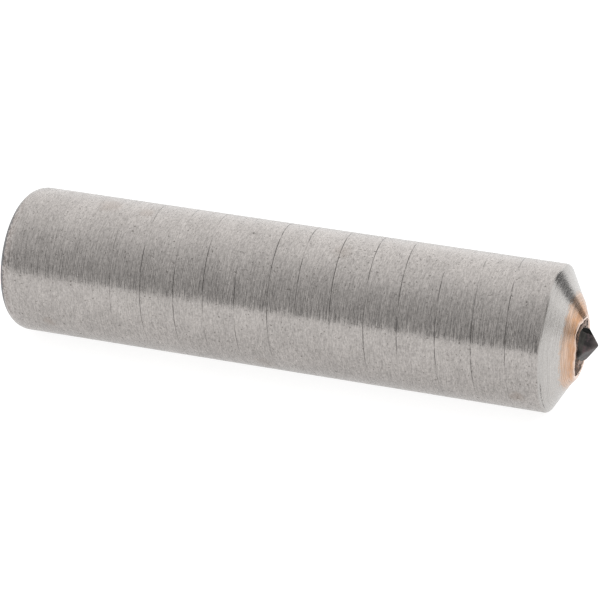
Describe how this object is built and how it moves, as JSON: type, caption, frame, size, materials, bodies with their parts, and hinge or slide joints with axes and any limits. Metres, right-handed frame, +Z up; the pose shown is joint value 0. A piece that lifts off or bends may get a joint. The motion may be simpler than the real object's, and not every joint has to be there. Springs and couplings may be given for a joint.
{
  "type": "single-point diamond dresser",
  "caption": "Round ground-steel shank with a turned nose cone and a brazed-in pointed natural diamond, clamped in a holder to true and dress grinding wheels.",
  "frame": {"origin": "centre of the shank's flat rear face, on the tool's axis", "axes": "+X along the tool's axis from the rear face to the diamond's point, +Z up, as the tool lies on its side"},
  "size_m": [0.0525, 0.0126, 0.0126],
  "materials": {
    "ground_steel": "ground around its circumference, uncoated",
    "copper_braze": "copper-coloured, turned flush with the nose cone",
    "sintered_matrix": "dark grainy powder metal, as sintered",
    "dark_diamond": "natural crystal faces, glossy with a slight skin"
  },
  "bodies": {
    "root": {"shank": "ground_steel", "braze_fill": "copper_braze", "setting_matrix": "sintered_matrix", "diamond": "dark_diamond"}
  },
  "joints": []
}
